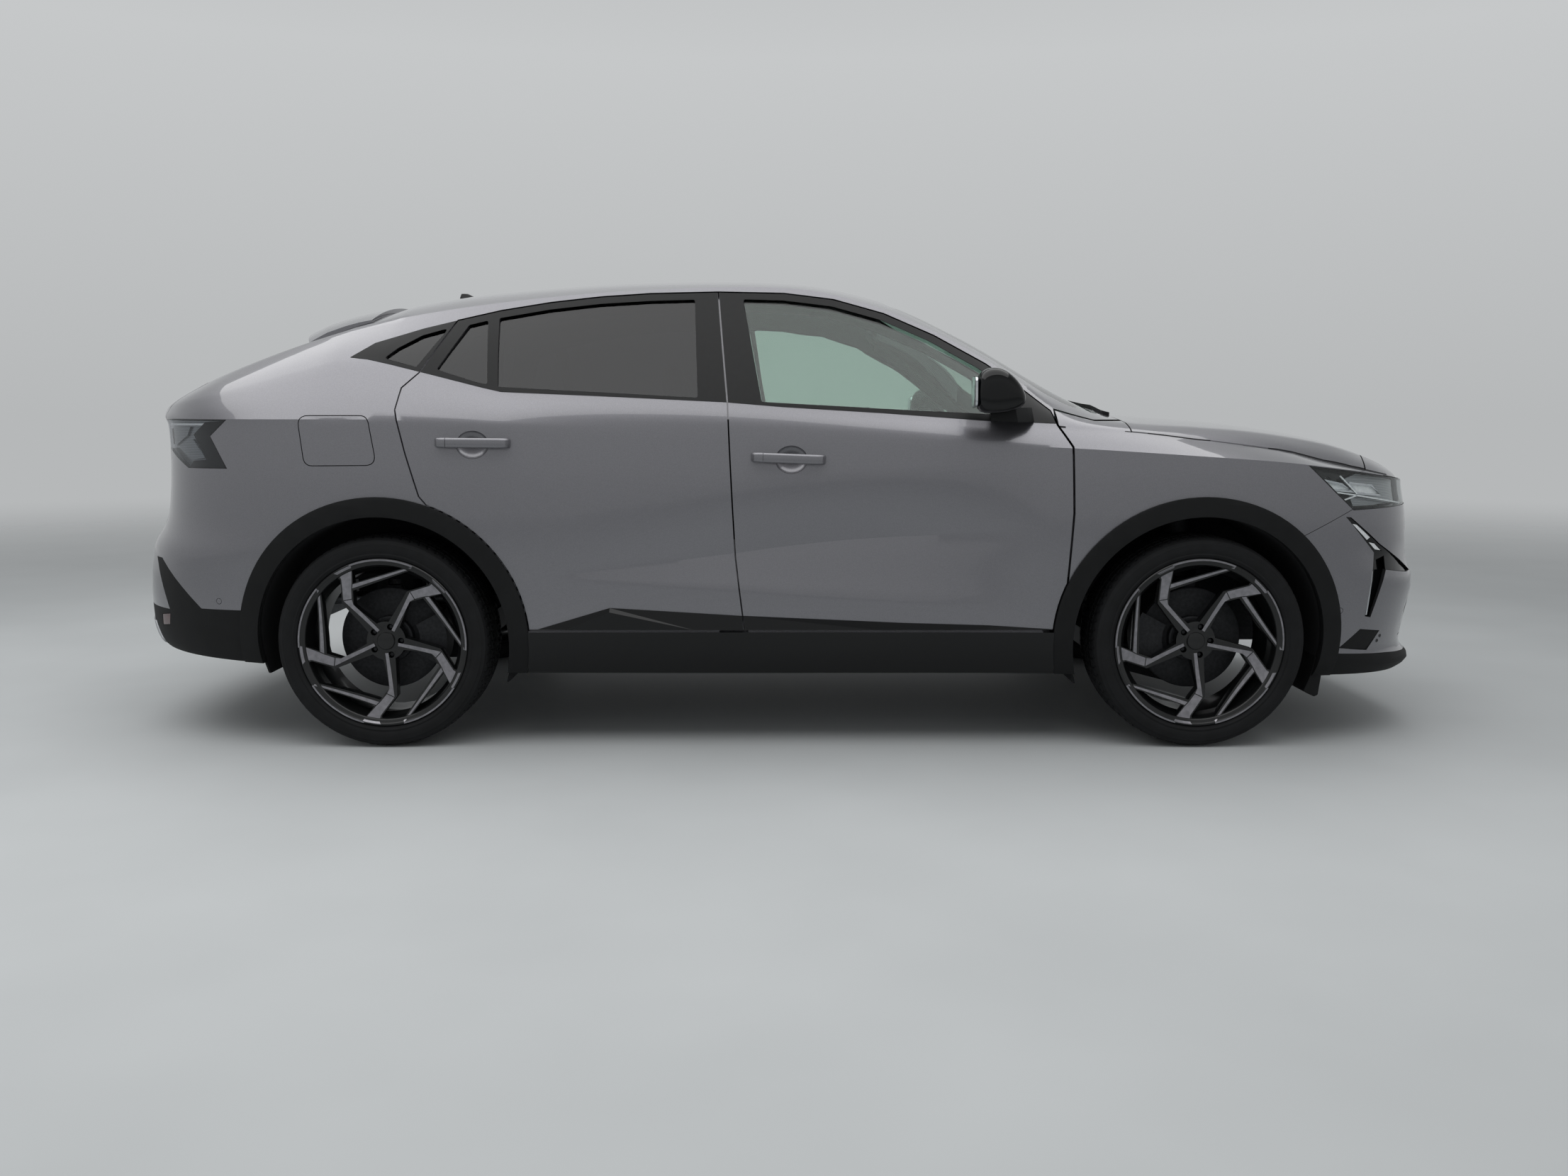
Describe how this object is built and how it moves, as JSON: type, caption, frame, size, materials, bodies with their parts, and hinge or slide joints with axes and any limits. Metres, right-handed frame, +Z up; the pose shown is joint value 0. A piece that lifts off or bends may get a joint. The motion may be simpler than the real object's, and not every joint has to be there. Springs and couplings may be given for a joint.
{
  "type": "coupe sport utility vehicle",
  "caption": "Four-wheeled five-seat car with a sloping rear, opening doors, hood and tailgate, steered front wheels and wheels that roll.",
  "frame": {"origin": "on the ground, at the middle of the length and width", "axes": "+X forward, +Y to the car's left side, +Z up"},
  "size_m": [4.7045, 2.1, 1.6129],
  "materials": {
    "paint": "metallic grey, clear coated",
    "gloss_black": "gloss",
    "plain_black": "fine grain",
    "clear_glass": "clear, slightly green",
    "dark_glass": "tinted",
    "red_lens": "gloss",
    "steel": "satin",
    "cloth": "woven",
    "rim": "machined grey",
    "tyre": "matte"
  },
  "bodies": {
    "body": {"body_shell": "paint", "front_fenders": "paint", "front_bumper": "paint", "rear_bumper": "paint", "arch_cladding": "plain_black", "sill_covers": "gloss_black", "fixed_glass": "clear_glass", "headlamps": "clear_glass", "tail_lamps": "red_lens", "grille": "plain_black", "floor_pan": "plain_black", "front_rails": "steel", "powertrain": "steel", "front_seats": "cloth", "rear_seat": "cloth", "dashboard": "plain_black", "wipers": "plain_black", "front_suspension": "steel", "rear_suspension": "steel", "exhaust": "steel"},
    "hood": {"hood": "paint"},
    "tailgate": {"tailgate": "paint", "tailgate_glass": "dark_glass", "tailgate_lamps": "red_lens", "spoiler": "paint"},
    "fuel_flap": {"fuel_flap": "paint"},
    "steering_wheel": {"steering_wheel": "plain_black"},
    "door_front_left": {"door_front_left": "paint", "glass_front_left": "clear_glass", "mirror_left": "gloss_black"},
    "door_rear_left": {"door_rear_left": "paint", "glass_rear_left": "dark_glass"},
    "knuckle_left": {"knuckle_left": "steel"},
    "wheel_front_left": {"rim_front_left": "rim", "tyre_front_left": "tyre"},
    "wheel_rear_left": {"rim_rear_left": "rim", "tyre_rear_left": "tyre"},
    "door_front_right": {"door_front_right": "paint", "glass_front_right": "clear_glass", "mirror_right": "gloss_black"},
    "door_rear_right": {"door_rear_right": "paint", "glass_rear_right": "dark_glass"},
    "knuckle_right": {"knuckle_right": "steel"},
    "wheel_front_right": {"rim_front_right": "rim", "tyre_front_right": "tyre"},
    "wheel_rear_right": {"rim_rear_right": "rim", "tyre_rear_right": "tyre"}
  },
  "joints": [
    {"name": "door_front_left_hinge", "type": "hinge", "parent": "body", "child": "door_front_left", "pos_m": [0.925, 0.912, 0.75], "axis": [0, 0, -1], "range_deg": [0, 68]},
    {"name": "door_rear_left_hinge", "type": "hinge", "parent": "body", "child": "door_rear_left", "pos_m": [-0.18, 0.908, 0.75], "axis": [0, 0, -1], "range_deg": [0, 68]},
    {"name": "door_front_right_hinge", "type": "hinge", "parent": "body", "child": "door_front_right", "pos_m": [0.925, -0.912, 0.75], "axis": [0, 0, 1], "range_deg": [0, 68]},
    {"name": "door_rear_right_hinge", "type": "hinge", "parent": "body", "child": "door_rear_right", "pos_m": [-0.18, -0.908, 0.75], "axis": [0, 0, 1], "range_deg": [0, 68]},
    {"name": "hood_hinge", "type": "hinge", "parent": "body", "child": "hood", "pos_m": [1.172, 0, 1.134], "axis": [0, -1, 0], "range_deg": [0, 58]},
    {"name": "tailgate_hinge", "type": "hinge", "parent": "body", "child": "tailgate", "pos_m": [-1.421, 0, 1.512], "axis": [0, 1, 0], "range_deg": [0, 78]},
    {"name": "fuel_flap_hinge", "type": "hinge", "parent": "body", "child": "fuel_flap", "pos_m": [-1.3595, -0.921, 1.033], "axis": [-0.1581, 0, 0.9874], "range_deg": [0, 80]},
    {"name": "steering_wheel_turn", "type": "hinge", "parent": "body", "child": "steering_wheel", "pos_m": [0.56, 0.37, 0.985], "axis": [-0.9136, 0, 0.4067], "range_deg": [-495, 495]},
    {"name": "steer_left", "type": "hinge", "parent": "body", "child": "knuckle_left", "pos_m": [1.404, 0.74, 0.358], "axis": [0, 0, 1], "range_deg": [-33, 33]},
    {"name": "wheel_front_left_spin", "type": "hinge", "parent": "knuckle_left", "child": "wheel_front_left", "pos_m": [1.404, 0.8, 0.358], "axis": [0, 1, 0], "continuous": true},
    {"name": "wheel_rear_left_spin", "type": "hinge", "parent": "body", "child": "wheel_rear_left", "pos_m": [-1.334, 0.8, 0.358], "axis": [0, 1, 0], "continuous": true},
    {"name": "steer_right", "type": "hinge", "parent": "body", "child": "knuckle_right", "pos_m": [1.404, -0.74, 0.358], "axis": [0, 0, 1], "range_deg": [-33, 33]},
    {"name": "wheel_front_right_spin", "type": "hinge", "parent": "knuckle_right", "child": "wheel_front_right", "pos_m": [1.404, -0.8, 0.358], "axis": [0, 1, 0], "continuous": true},
    {"name": "wheel_rear_right_spin", "type": "hinge", "parent": "body", "child": "wheel_rear_right", "pos_m": [-1.334, -0.8, 0.358], "axis": [0, 1, 0], "continuous": true}
  ],
  "couplings": [
    {"joint": "steer_left", "follows": "steering_wheel_turn", "ratio": 0.066667},
    {"joint": "steer_right", "follows": "steering_wheel_turn", "ratio": 0.066667}
  ]
}
